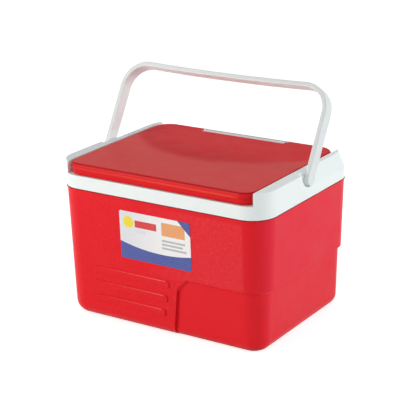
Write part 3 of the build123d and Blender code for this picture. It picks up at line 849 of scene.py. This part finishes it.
def pick(piece, kind, test):  # in edit mode, selects the verts, edges or faces that pass the test
    bpy.ops.mesh.select_all(action="DESELECT")
    bpy.ops.mesh.select_mode(type={"verts": "VERT", "edges": "EDGE", "faces": "FACE"}[kind])
    mesh = bmesh.from_edit_mesh(piece.data)
    for item in getattr(mesh, kind):
        item.select_set(bool(test(item)))
    mesh.select_flush_mode()
    bmesh.update_edit_mesh(piece.data)


def addBlock(name, low, high):  # leaves the new block in edit mode
    deselect()
    middle = [(a + b) / 2 for a, b in zip(low, high)]
    bpy.ops.mesh.primitive_cube_add(size=1, location=middle)
    block = bpy.context.object
    block.name = name
    block.scale = [b - a for a, b in zip(low, high)]
    bpy.ops.object.transform_apply(location=True, rotation=True, scale=True)
    bpy.ops.object.mode_set(mode="EDIT")
    return block


def makeActive(piece):
    deselect()
    piece.select_set(True)
    bpy.context.view_layer.objects.active = piece


levelLimit = 0.001  # two corners closer than this in Z are level


def rise(edge):
    return abs(edge.verts[0].co.z - edge.verts[1].co.z)


def isUpright(face):
    return abs(face.normal.z) < 0.5


def applyAll(piece):
    makeActive(piece)
    for modifier in list(piece.modifiers):
        bpy.ops.object.modifier_apply(modifier=modifier.name)


# Soft foam pad over the storage space, with slit crosses that grip the vials
padLow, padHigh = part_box("vial_pad")
softPad = {
    "ease": 0.0006,  # how much smaller than its solid the block starts
    "corner": 0.008,
    "cornerSteps": 6,
    "softEdge": 0.003,
    "softSteps": 4,
    "slitLength": 0.034,
    "slitWidth": 0.0025,
    "slitDepth": 0.012,
    "slitTaper": 0.86,
    "slitAbove": 0.004,  # how far the cutter stands above the pad
    "pitch": 0.0399,  # a whole number of voxels, so every cross stays open
    "columns": 4,
    "rows": 2,
    "voxel": 0.00105,
    "smoothing": 0.5,
    "smoothSteps": 2,
    "wave": 0.0009,
    "waveSize": 0.035,
    "waveMiddle": 0.65,
    "colour": (0.125, 0.130, 0.148, 1),
    "cellColour": (0.045, 0.047, 0.056, 1),
    "cellScale": 620.0,
    "cellRoughness": 1.0,
    "wallRoughness": 0.85,
    "relief": 0.0007,
    "specular": 0.15,
    "sheen": 0.15,
}
ease = softPad["ease"]
vialFoam = addBlock(
    "vialFoam", [c + ease for c in padLow[:2]] + [padLow[2]], [c - ease for c in padHigh[:2]] + [padHigh[2] - ease]
)
pick(vialFoam, "edges", lambda edge: rise(edge) > 10 * levelLimit)
bpy.ops.mesh.bevel(offset=softPad["corner"], segments=softPad["cornerSteps"], affect="EDGES")
pick(
    vialFoam, "edges",
    lambda edge: rise(edge) < levelLimit and any(isUpright(face) for face in edge.link_faces),
)
bpy.ops.mesh.bevel(offset=softPad["softEdge"], segments=softPad["softSteps"], affect="EDGES")
bpy.ops.object.mode_set(mode="OBJECT")

# one slit cross: a thin post whose four sides are drawn out into arms, narrower at its foot
padMiddle = [(a + b) / 2 for a, b in zip(padLow, padHigh)]
half = softPad["slitWidth"] / 2
slitCross = addBlock(
    "slitCross",
    (padMiddle[0] - half, padMiddle[1] - half, padHigh[2] - softPad["slitDepth"]),
    (padMiddle[0] + half, padMiddle[1] + half, padHigh[2] + softPad["slitAbove"]),
)
pick(slitCross, "faces", isUpright)
bpy.ops.mesh.extrude_faces_move(TRANSFORM_OT_shrink_fatten={"value": softPad["slitLength"] / 2 - half})
pick(slitCross, "verts", lambda vert: vert.co.z < padHigh[2] - levelLimit)
bpy.ops.transform.resize(value=(softPad["slitTaper"], softPad["slitTaper"], 1))
bpy.ops.mesh.select_all(action="SELECT")
bpy.ops.mesh.remove_doubles(threshold=0.00001)
bpy.ops.mesh.normals_make_consistent(inside=False)
bpy.ops.object.mode_set(mode="OBJECT")
for column in range(softPad["columns"]):
    for row in range(softPad["rows"]):
        makeActive(slitCross)
        bpy.ops.object.duplicate(linked=False)
        cutter = bpy.context.object
        aside = (column - (softPad["columns"] - 1) / 2) * softPad["pitch"]
        back = (row - (softPad["rows"] - 1) / 2) * softPad["pitch"]
        bpy.ops.transform.translate(value=(aside, back, 0))
        bpy.ops.object.transform_apply(location=True, rotation=True, scale=True)
        cut = vialFoam.modifiers.new("slit", "BOOLEAN")
        cut.operation = "DIFFERENCE"
        cut.solver = "EXACT"
        cut.object = cutter
        applyAll(vialFoam)
        bpy.data.objects.remove(cutter)
bpy.data.objects.remove(slitCross)

# the cut block becomes an even skin that can be eased and waved like foam
skinned = vialFoam.modifiers.new("skin", "REMESH")
skinned.mode = "VOXEL"
skinned.voxel_size = softPad["voxel"]
eased = vialFoam.modifiers.new("ease", "SMOOTH")
eased.factor = softPad["smoothing"]
eased.iterations = softPad["smoothSteps"]
waveNoise = bpy.data.textures.new("foamWave", "CLOUDS")
waveNoise.noise_scale = softPad["waveSize"]
waved = vialFoam.modifiers.new("wave", "DISPLACE")
waved.texture = waveNoise
waved.texture_coords = "LOCAL"
waved.strength = softPad["wave"]
waved.mid_level = softPad["waveMiddle"]
applyAll(vialFoam)
bpy.ops.object.shade_smooth()
vialFoam.data.materials.clear()
vialFoam.data.materials.append(foamMaterial("softFoam", softPad))
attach(vialFoam, "body")
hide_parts("vial_pad")
print("foam pad made,", len(vialFoam.data.polygons), "faces")


# Floor, room and lamps
studio = {
    "sideLight": 0.74,  # how strongly the walls of the room light the object
    "roofLight": 0.36,  # and its ceiling
    "wallTop": 0.1,
    "roofStart": 0.9,
    "floorRadius": 6.0,
    "floorColour": (0.80, 0.80, 0.80, 1),
    "floorMottle": (0.78, 0.78, 0.78, 1),
    "floorRoughness": 0.9,
    "floorLift": 0.66,  # brings the lit floor up to white for the eye, under its shadow too
    "lamps": {
        # name: place, size, power, colour
        "keyLamp": ((-1.15, -1.85, 0.62), 0.9, 17.0, (1.0, 0.985, 0.96)),
        "sideLamp": ((1.95, 0.70, 0.75), 1.1, 18.0, (0.97, 0.985, 1.0)),
        "edgeLamp": ((-1.04, -1.20, 1.34), 0.3, 5.0, (1.0, 0.90, 0.78)),
    },
    "aim": (0.0, 0.0, 0.12),
}


def seenDirectly(tree):  # 1 for rays from the camera, a mirror or through glass
    rays = put(tree, "LightPath", (-700, 300)).outputs
    sharp = calc(tree, (-450, 300), "ADD", rays["Is Camera Ray"], rays["Is Glossy Ray"])
    return calc(tree, (-250, 300), "ADD", sharp, rays["Is Transmission Ray"], clamp=True)


room = bpy.data.worlds.new("room")
room.use_nodes = True
bpy.context.scene.world = room
tree = room.node_tree
plainRoom = tree.nodes["Background"]
plainRoom.inputs["Color"].default_value = (1, 1, 1, 1)
heading = put(tree, "TexCoord", (-900, -100))
height = split(tree, (-700, -100), heading.outputs["Generated"])[2]
fading = spread(
    tree, (-450, -100), height, studio["wallTop"], studio["roofStart"], studio["sideLight"], studio["roofLight"]
)
join(tree, fading, plainRoom.inputs["Strength"])
whiteRoom = put(tree, "Background", (0, -200))
whiteRoom.inputs["Color"].default_value = (1, 1, 1, 1)
whiteRoom.inputs["Strength"].default_value = 1.0
either = put(tree, "MixShader", (300, 0))
join(tree, seenDirectly(tree), either.inputs[0])
join(tree, plainRoom.outputs[0], either.inputs[1])
join(tree, whiteRoom.outputs[0], either.inputs[2])
join(tree, either.outputs[0], tree.nodes["World Output"].inputs["Surface"])

deselect()
bpy.ops.mesh.primitive_circle_add(vertices=96, radius=studio["floorRadius"], fill_type="NGON", location=(0, 0, 0))
floor = bpy.context.object
floor.name = "floor"
floorWhite, tree, shader, where = startMaterial("floorWhite")
mottled = noise(tree, (-400, 0), where["Object"], Scale=3.0, Detail=2.0).outputs["Fac"]
mottled = blendColour(tree, (0, 100), mottled, studio["floorColour"], studio["floorMottle"])
join(tree, mottled, shader.inputs["Base Color"])
join(tree, product(tree, (400, -200), seenDirectly(tree), studio["floorLift"]), shader.inputs["Emission Strength"])
fill(shader, Roughness=studio["floorRoughness"], SpecularIORLevel=0.0, EmissionColor=(1, 1, 1, 1))
floor.data.materials.append(floorWhite)

for lampName, (place, size, power, colour) in studio["lamps"].items():
    lampData = bpy.data.lights.new(lampName, "AREA")
    lampData.size = size
    lampData.energy = power
    lampData.color = colour
    lamp = bpy.data.objects.new(lampName, lampData)
    lamp.location = place
    lamp.rotation_euler = (Vector(studio["aim"]) - Vector(place)).to_track_quat("-Z", "Y").to_euler()
    bpy.context.scene.collection.objects.link(lamp)
print("floor, room and lamps set")
